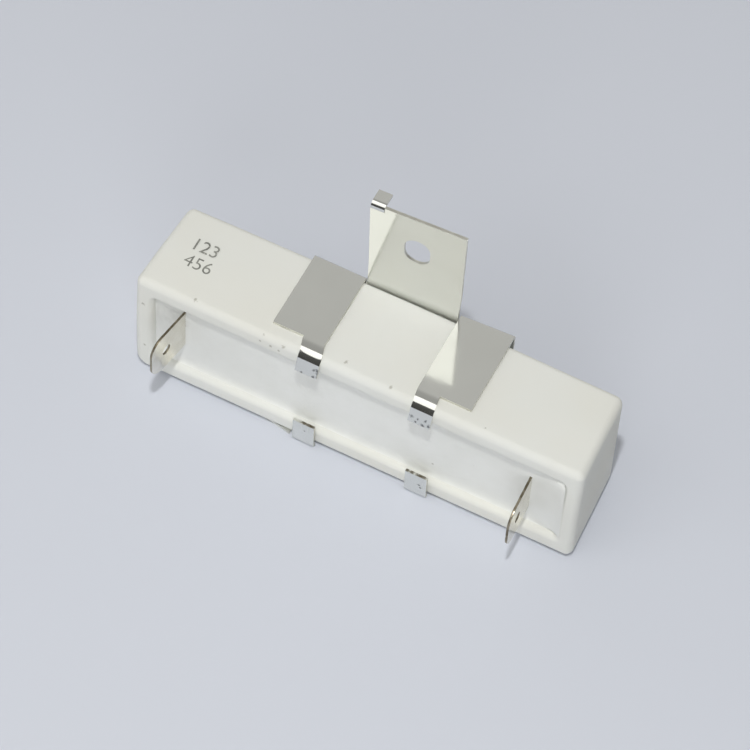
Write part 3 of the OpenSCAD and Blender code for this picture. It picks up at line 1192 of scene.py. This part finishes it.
@dataclass(frozen=True)
class Bracket:
    """The folded sheet bracket: back plate, wings with tongues and claws, and the ear with its hook."""

    sheet: float = 0.6
    fold_radius: float = 0.3
    plate_gap: float = 0.25
    claw_gap: float = 0.3
    yaw: float = 2.9  # of the back plate, from the ear's left edge to the right
    root_share: float = 0.15  # of the plate's turn, at the ear's root
    turn_rise: float = 8.0  # height above the root at which the ear has the whole turn
    width: float = 39.8
    offset: float = 1.4  # of the bracket's middle from the case's
    finger_width: float = 4.4
    finger_set: float = 0.9  # how far a claw is set sideways
    tongue_front: float = 4.0  # depth at which the tongues start
    left_tongue: Tongue = Tongue(
        0.75, ((15.0, 6.1), (13.0, 3.15), (16.0, 1.25), (16.0, 3.45), (10.0, 0.2)), 2.9,
    )
    right_tongue: Tongue = Tongue(
        0.3, ((15.0, 5.3), (13.0, 2.8), (16.0, 1.6), (16.0, 3.45), (10.0, 0.2)), 3.0,
    )
    set_run: float = 2.5
    claw_lead: float = -0.2  # front edge of the left bottom wing beside its claw
    claw_trail: float = 0.9  # the same edge at the wing's outer end
    lead_gap: float = 0.06
    claw_run: float = 0.5
    claw_rise: float = 6.1
    ear_width: float = 18.2
    ear_height: float = 24.3
    ear_flare: float = 0.4
    ear_slit: float = 0.25
    slit_depth: float = 0.8
    slot_width: float = 5.0
    slot_length: float = 6.6
    slot_height: float = 14.9
    hook_width: float = 2.8
    hook_reach: float = 2.8
    hook_bend: float = 1.35
    hook_gap: float = 0.12
    edge: float = 0.06
    fold_steps: int = 8
    turn_steps: int = 8
    slot_steps: int = 16
    hook_steps: int = 10

    @property
    def wing_inner(self) -> float:
        """Distance of a wing's inner end from the bracket's middle."""
        return self.ear_width / 2 + self.ear_slit

    def _plate(self, case: Case) -> float:
        """Gives the depth of the back plate's face where it isn't turned."""
        return case.depth + self.plate_gap

    def _root(self, case: Case) -> float:
        """Gives the height at which the ear leaves the back plate."""
        return case.top - self.fold_radius - self.slit_depth

    def _behind(self, x: float) -> float:
        """Gives how far the back plate stands off at a place along it; it turns away to the right."""
        return max(x + self.ear_width / 2, 0.0) * math.tan(math.radians(self.yaw))

    def build(self, stand: Stand, case: Case, materials: Sequence[Material]) -> Piece:
        """Builds the bracket from the surface that faces the case.

        Args:
            stand: the frame.
            case: the case that it clips round.
            materials: the faces and the cut edges.

        Returns:
            The piece.
        """
        shell = Shell()
        for side in Side:
            self._wings(shell, case, side)
        self._ear_foot(shell, case)
        self._ear(shell, case)
        shell.weld()
        shell.turn_to((0.0, -1.0, 0.0))
        bmesh.ops.translate(shell.mesh, verts=shell.mesh.verts, vec=(self.offset, 0.0, 0.0))
        piece = shell.piece("bracket_sheet", stand, materials)
        thicken(piece, self.sheet, self.edge)
        hand_over(piece, Slot.SHEET, "mounting_bracket")
        return piece

    def _wings(self, shell: Shell, case: Case, side: Side) -> None:
        """Adds one end of the bracket: both wings, its part of the back plate and its fingers.

        Args:
            shell: the surface.
            case: the case.
            side: which end.
        """
        fold, steps = self.fold_radius, self.fold_steps
        claw_front = fold + self.claw_run
        lead, trail = (claw_front, claw_front) if side is Side.RIGHT else (self.claw_lead, self.claw_trail)
        inner, outer = self.wing_inner, self.width / 2
        finger = inner + self.finger_width
        columns = []
        fronts = ((inner, claw_front), (finger, claw_front), (finger + self.lead_gap, lead), (outer, trail))
        for x, front in fronts:
            face = self._plate(case) + self._behind(side.value * x)
            path = [(self.tongue_front, case.top)]
            path += arc((face - fold, case.top - fold), fold, 90, 0, steps)
            path += [(face, self._root(case))]
            path += arc((face - fold, case.bottom + fold), fold, 0, -90, steps)
            path += [(front, case.bottom)]
            columns.append([(side.value * x, y, z) for y, z in path])
        shell.rows([list(row) for row in zip(*columns)])
        ends = sorted((side.value * inner, side.value * finger))
        tongue = self.right_tongue if side is Side.RIGHT else self.left_tongue
        self._finger(shell, ends, tongue.path((self.tongue_front, case.top)), tongue.shift, self.set_run)
        claw = [(claw_front, case.bottom)]
        claw += arc((fold - self.claw_gap, case.bottom + fold), fold, 270, 180, steps)
        claw += [(-self.claw_gap, case.bottom + self.claw_rise)]
        self._finger(shell, ends, claw, self.finger_set, self.claw_run)

    @staticmethod
    def _finger(shell: Shell, ends: Sequence[float], path: Sequence[Flat], shift: float, run: float) -> None:
        """Adds a tongue or a claw, which is set a little sideways.

        Args:
            shell: the surface.
            ends: X of its two edges at its root.
            path: depth and height of its points, from its root.
            shift: how far it is set sideways.
            run: depth from its root within which that happens.
        """
        rows = []
        for y, z in path:
            share = min((path[0][0] - y) / run, 1.0)
            rows.append([(x + shift * share, y, z) for x in ends])
        shell.rows(rows)

    def _ear_foot(self, shell: Shell, case: Case) -> None:
        """Adds the plate below the ear, and the ear's foot, which turns with the plate as it rises.

        Args:
            shell: the surface.
            case: the case.
        """
        plate, root, part = self._plate(case), self._root(case), self.root_share
        half, inner = self.ear_width / 2, self.wing_inner
        below = ((-inner, 1.0), (-half, part), (0.0, part), (half, part), (inner, 1.0))
        levels = (case.bottom + self.fold_radius, root)
        shell.rows([[(x, plate + share * self._behind(x), z) for x, share in below] for z in levels])
        rows = []
        for i in range(self.turn_steps + 1):
            share = i / self.turn_steps
            turn = part + (1 - part) * ease(share)
            z = root + self.turn_rise * share
            rows.append([(x, plate + turn * self._behind(x), z) for x in (-half, 0.0, half)])
        shell.rows(rows)

    def _ear(self, shell: Shell, case: Case) -> None:
        """Adds the ear above its foot, in two halves cut through its slot, and the hook on its corner.

        Args:
            shell: the surface.
            case: the case.
        """
        plate, foot = self._plate(case), self._root(case) + self.turn_rise
        half, top, bend = self.ear_width / 2, case.top + self.ear_height, self.hook_bend
        corner = -half - self.ear_flare
        hook = self.hook_width - half - self.ear_flare
        strip = hook - self.hook_gap
        right = [(0.0, foot), (half, foot), (half, top), (0.0, top)] + self._slot_side(case, Side.RIGHT)
        left = [(-half, foot), (0.0, foot)] + self._slot_side(case, Side.LEFT)
        left += [(0.0, top), (hook, top), (hook, top - bend), (strip, top - bend), (corner, top - bend)]
        for outline in (left, right):
            shell.face((x, plate + self._behind(x), z) for x, z in outline)
        path = arc((plate + bend, top - bend), bend, 180, 90, self.hook_steps)
        path += [(plate + self.sheet + self.hook_reach, top)]
        shell.rows([[(x, y + self._behind(x), z) for x in (corner, strip)] for y, z in path])

    def _slot_side(self, case: Case, side: Side) -> list[Flat]:
        """Lists the points of one side of the ear's slot, clockwise as seen from the front.

        Args:
            case: the case.
            side: which side.

        Returns:
            X and height of each point.
        """
        middle, radius = case.top + self.slot_height, self.slot_width / 2
        straight = side.value * (self.slot_length / 2 - radius)
        first = 180 - 90 * side.value
        begin = arc((0.0, middle + straight), radius, first, first - 90, self.slot_steps)
        return begin + arc((0.0, middle - straight), radius, first - 90, first - 180, self.slot_steps)


@dataclass(frozen=True)
class Stamp:
    """Plain figures printed on the top of the case."""

    lines: tuple[str, ...] = ("123", "456")
    left: tuple[float, ...] = (-39.7, -39.2)
    base: tuple[float, ...] = (11.4, 7.6)
    height: float = 2.7
    letter_share: float = 1.4  # size of the typeface, as a multiple of the height
    film: float = 0.05
    thinned: float = 0.03
    weld: float = 0.0001
    curve_steps: int = 4

    def build(self, stand: Stand, case: Case, material: Material) -> Piece:
        """Prints the figures.

        Args:
            stand: the frame.
            case: the case that carries them.
            material: the ink.

        Returns:
            The piece.
        """
        figures = bmesh.new()
        for text, left, base in zip(self.lines, self.left, self.base):
            curve = bpy.data.curves.new("figures", "FONT")
            curve.body = text
            curve.size = self.height * MM * self.letter_share
            curve.extrude = self.film / 2 * MM
            curve.offset = -self.thinned * MM
            curve.resolution_u = self.curve_steps
            carrier = show("figures", curve)
            flat = plain_mesh(carrier)
            flat.transform(Matrix.Translation(stand.at((left, base, case.top))))
            figures.from_mesh(flat)
            bpy.data.objects.remove(carrier)
            bpy.data.meshes.remove(flat)
            bpy.data.curves.remove(curve)
        bmesh.ops.remove_doubles(figures, verts=figures.verts, dist=self.weld * MM)
        data = bpy.data.meshes.new("figure_print")
        figures.to_mesh(data)
        figures.free()
        data.materials.append(material)
        piece = show("figure_print", data)
        hand_over(piece, Slot.CASE)
        return piece


@dataclass(frozen=True)
class Viewpoint:
    """The camera, as an orbit round a point of the case, in millimetres and degrees."""

    azimuth: float = 23.47
    elevation: float = 57.32
    roll: float = 4.12
    distance: float = 713.4
    aim: Point = (-0.71, 10.70, 13.9)
    lens: float = 187.45
    sensor: float = 36.0
    nearest: float = 10.0

    def build(self, stand: Stand) -> None:
        """Makes the camera and gives it to the scene.

        Args:
            stand: the frame.
        """
        turn, rise, roll = (math.radians(a) for a in (self.azimuth, self.elevation, self.roll))
        back = Vector((math.sin(turn) * math.cos(rise), -math.cos(turn) * math.cos(rise), math.sin(rise)))
        level = Vector((math.cos(turn), math.sin(turn), 0.0))
        right = level * math.cos(roll) + back.cross(level) * math.sin(roll)
        data = bpy.data.cameras.new("photo_camera")
        data.lens = self.lens
        data.sensor_width = self.sensor
        data.clip_start = self.nearest * MM
        camera = show("photo_camera", data)
        place = Matrix((right, back.cross(right), back)).transposed().to_4x4()
        place.translation = stand.at(self.aim) + back * self.distance * MM
        camera.matrix_world = place
        bpy.context.scene.camera = camera


@dataclass(frozen=True)
class Lamp:
    """A round soft light, aimed at the case."""

    name: str
    place: Point
    size: float
    watts: float
    tone: Tone = Tone(255, 255, 254)
    aim: Point = (0.0, 10.0, 10.0)

    def build(self, stand: Stand) -> None:
        """Makes the light.

        Args:
            stand: the frame.
        """
        data = bpy.data.lights.new(self.name, "AREA")
        data.shape = "DISK"
        data.size = self.size * MM
        data.energy = self.watts
        data.color = self.tone.linear()[:3]
        lamp = show(self.name, data)
        place = stand.at(self.place)
        turn = (place - stand.at(self.aim)).to_track_quat("Z", "Y")
        lamp.matrix_world = Matrix.Translation(place) @ turn.to_matrix().to_4x4()


@dataclass(frozen=True)
class Studio:
    """Floor, surrounding light and lamps."""

    floor_half: float = 3.0  # metres
    floor_tone: Tone = Tone(213, 217, 227)
    floor_roughness: float = 0.85
    surround: tuple[Flat, ...] = (
        (0.0, 0.06), (0.20, 0.09), (0.46, 0.33), (0.56, 0.38), (0.65, 0.53), (1.0, 0.55),
    )  # share of the way from the front over the top to the back, and strength there
    right_share: float = 0.45  # of the strength, towards the right
    right_band: Flat = (-0.1, 0.9)
    surround_tone: Tone = Tone(255, 254, 250)
    backdrop_tone: Tone = Tone(205, 208, 216)
    lamps: tuple[Lamp, ...] = (
        Lamp("key_lamp", (74, -207, 722), 40, 2.1),
        Lamp("soft_box", (-200, -430, 760), 740, 1.52, Tone(255, 254, 250)),
        Lamp("right_fill", (540, -1360, 480), 1000, 5.9),
        Lamp("left_fill", (-1250, -950, 480), 1000, 2.6),
    )

    def build(self, stand: Stand) -> None:
        """Makes the studio.

        Args:
            stand: the frame.
        """
        self._floor()
        self._surround()
        for lamp in self.lamps:
            lamp.build(stand)
        bpy.context.scene.view_settings.view_transform = "Standard"

    def _floor(self) -> None:
        """Makes the pale floor."""
        mesh = bpy.data.meshes.new("floor")
        half = self.floor_half
        corners = [(-half, -half, 0), (half, -half, 0), (half, half, 0), (-half, half, 0)]
        mesh.from_pydata(corners, [], [(0, 1, 2, 3)])
        floor = show("floor", mesh)
        material = bpy.data.materials.new("floor_paper")
        graph = Graph.of(material)
        shader = graph.add("ShaderNodeBsdfPrincipled", {
            "Base Color": self.floor_tone.linear(), "Roughness": self.floor_roughness,
        })
        graph.add("ShaderNodeOutputMaterial", {"Surface": shader.outputs[0]})
        mesh.materials.append(material)

    def _surround(self) -> None:
        """Makes the room's light, which changes from the front over the top to the back."""
        world = bpy.data.worlds.new("studio")
        bpy.context.scene.world = world
        graph = Graph.of(world)
        place = graph.add("ShaderNodeSeparateXYZ", {0: graph.add("ShaderNodeTexCoord").outputs["Generated"]})
        front = graph.math("MULTIPLY", place.outputs["Y"], -1.0)
        turn = graph.math("ARCTAN2", graph.math("ABSOLUTE", place.outputs["Z"]), front)
        ramp = graph.add("ShaderNodeValToRGB", {0: graph.math("DIVIDE", turn, math.pi)})
        ramp.color_ramp.interpolation = "EASE"
        steps = ramp.color_ramp.elements
        while len(steps) < len(self.surround):
            steps.new(0.5)
        for step, (at, strength) in zip(steps, self.surround):
            step.position = at
            step.color = self.surround_tone.linear(strength)
        share = graph.remap(place.outputs["X"], *self.right_band, 1.0, self.right_share)
        light = graph.add("ShaderNodeBackground", {"Color": ramp.outputs[0], "Strength": share})
        seen = graph.add("ShaderNodeBackground", {"Color": self.backdrop_tone.linear(), "Strength": 1.0})
        ray = graph.add("ShaderNodeLightPath").outputs["Is Camera Ray"]
        both = graph.add("ShaderNodeMixShader", {0: ray, 1: light.outputs[0], 2: seen.outputs[0]})
        graph.add("ShaderNodeOutputWorld", {"Surface": both.outputs[0]})


def claw_tips(*spots: Flat) -> tuple[Spot, ...]:
    """Places spots, each an X and a radius, on the cut upper ends of the claws."""
    return tuple((x, *CLAW_TIP, radius) for x, radius in spots)


@dataclass(frozen=True)
class Finishes:
    """The finishes of all pieces."""

    ceramic: Finish = PottedFinish(
        "case_ceramic", Tone(229, 230, 225), Tone(228, 228, 221), (0.63, 0.75), specular=0.25, cloud=45.0,
        relief=0.004, relief_cloud=0.02, speck_scale=150.0, speck_share=0.02, speck_size=0.03,
        stains=(
            (-43.2, 0.25, 20.7, 0.42), (-42.8, 0.0, 7.7, 0.32), (-43.2, 0.2, 4.6, 0.22),
            (-33.2, 1.9, 27.2, 0.40), (-18.9, 1.1, 26.9, 0.30), (-17.2, 0.7, 25.0, 0.36),
            (-15.6, 0.7, 24.8, 0.30), (-14.7, 0.75, 26.3, 0.42), (-19.4, 0.75, 25.2, 0.26),
            (-3.1, 2.9, 27.2, 0.38), (-1.5, 1.0, 26.9, 0.22), (6.4, 1.9, 27.1, 0.36),
            (3.0, 0.1, 5.2, 0.38), (25.0, 2.3, 27.1, 0.22),
        ),
    )
    cement: Finish = PottedFinish(
        "cement", Tone(235, 236, 233), Tone(230, 231, 227), (0.75, 0.9), specular=0.3, cloud=90.0,
        grain=1500.0, relief=0.02, relief_cloud=0.03, speck_tone=Tone(184, 182, 174), speck_scale=380.0,
        speck_share=0.05, speck_size=0.12,
    )
    core: Finish = PottedFinish(
        "core_ceramic", Tone(222, 210, 186), Tone(212, 198, 172), (0.6, 0.75), speck_share=0.02,
    )
    sheet: Finish = PlatedFinish(
        "bracket_zinc", Tone(231, 232, 228), Tone(228, 229, 225), (0.075, 0.12), metallic=1.0, cloud=120.0,
        relief=0.0006, relief_cloud=0.004, rubbed_gloss=0.14, stain_tone=Tone(84, 86, 88), stain_depth=0.8,
        stains=(
            (-7.4, 0.0, 24.9, 0.42), (-8.0, 0.0, 24.8, 0.30), (-7.2, -0.2, 24.4, 0.40),
            (-10.2, -0.6, 23.3, 0.36), (-7.1, -0.5, 23.6, 0.34), (-7.9, -0.6, 23.4, 0.36),
            (11.6, -0.2, 24.4, 0.36), (12.9, -0.2, 24.2, 0.26), (14.4, -0.1, 24.5, 0.30),
            (15.1, -0.4, 23.7, 0.42), (14.0, -0.4, 23.4, 0.36), (12.6, -0.4, 23.5, 0.24),
            (14.6, -0.9, 3.9, 0.34), (14.9, -0.9, 3.2, 0.26), (-9.0, -0.9, 4.6, 0.22),
        ),
    )
    sheared: Finish = PlatedFinish(
        "sheared_edge", Tone(232, 232, 224), Tone(208, 207, 197), (0.28, 0.38), metallic=1.0, cloud=420.0,
        relief=0.012, stain_tone=Tone(96, 84, 62), stain_depth=0.8,
        stains=claw_tips(
            (-9.2, 0.62), (-8.3, 0.80), (-7.6, 0.66), (11.9, 0.62), (12.9, 0.52), (14.5, 0.72), (15.2, 0.84),
        ),
    )
    strip: Finish = PlatedFinish(
        "tinned_strip", Tone(233, 230, 221), Tone(224, 220, 208), (0.16, 0.26), metallic=1.0, cloud=380.0,
        relief=0.002, relief_cloud=0.006,
    )
    strip_edge: Finish = PlatedFinish(
        "strip_edge", Tone(168, 160, 142), Tone(112, 104, 86), (0.26, 0.38), metallic=1.0, cloud=500.0,
        relief=0.012,
    )
    cap: Finish = PlatedFinish(
        "cap_steel", Tone(188, 190, 190), Tone(172, 174, 174), (0.28, 0.36), metallic=1.0, relief=0.003,
    )
    wire: Finish = PlatedFinish(
        "resistance_wire", Tone(150, 146, 138), Tone(128, 122, 112), (0.3, 0.42), metallic=1.0, relief=0.002,
    )
    ink: Finish = PottedFinish(
        "stamp_ink", Tone(112, 113, 108), Tone(150, 151, 144), (0.6, 0.75), cloud=900.0,
        speck_tone=Tone(205, 206, 198), speck_scale=2600.0, speck_share=0.3, speck_size=0.35,
    )


@dataclass(frozen=True)
class Resistor:
    """The whole part: builds its pieces in order."""

    stand: Stand
    finishes: Finishes = Finishes()
    cement: Cement = Cement()
    bracket: Bracket = Bracket()
    winding: Winding = Winding()
    stamp: Stamp = Stamp()
    terminals: tuple[Terminal, ...] = (
        Terminal(Side.LEFT, inset=9.2, headroom=1.5, splay=9.3, jog=0.3, width=10.2),
        Terminal(Side.RIGHT, inset=10.3, headroom=3.8, splay=2.3, jog=0.5, width=10.3, reach=8.5),
    )

    def build(self) -> list[Piece]:
        """Builds and dresses every piece.

        Returns:
            The pieces, in the order in which they are built.
        """
        effects, stand = Effects(), self.stand
        made = {name: finish.material(effects, stand) for name, finish in vars(self.finishes).items()}
        case = Case.of_frame()
        pieces = [case.build(stand, made["ceramic"])]
        pieces.append(self.cement.build(stand, case, self.terminals, made["cement"]))
        for terminal in self.terminals:
            pieces.append(terminal.build(stand, case, self.cement, (made["strip"], made["strip_edge"])))
        pieces.append(self.bracket.build(stand, case, (made["sheet"], made["sheared"])))
        pieces.append(self.winding.build(made["wire"]))
        pieces.append(self.stamp.build(stand, case, made["ink"]))
        for node, name in (("core_rod", "core"), ("end_cap_left", "cap"), ("end_cap_right", "cap")):
            pieces.append(self._dress(node, made[name]))
        return pieces

    def _dress(self, node: str, material: Material) -> Piece:
        """Gives a CAD node that stays its finish.

        Args:
            node: the node's name.
            material: its finish.

        Returns:
            The node's object.
        """
        piece = self.stand.nodes[node]
        piece.data.materials.clear()
        piece.data.materials.append(material)
        return piece


def main() -> None:
    """Builds the studio and the part, and logs the faces of each piece."""
    logging.basicConfig(level=logging.INFO)
    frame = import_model()
    stand = Stand(frame["nodes"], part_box("ceramic_case")[0].y)
    Viewpoint().build(stand)
    Studio().build(stand)
    for piece in Resistor(stand).build():
        LOG.info("%s: %d faces", piece.name, len(piece.data.polygons))


if __name__ == "__main__":
    main()
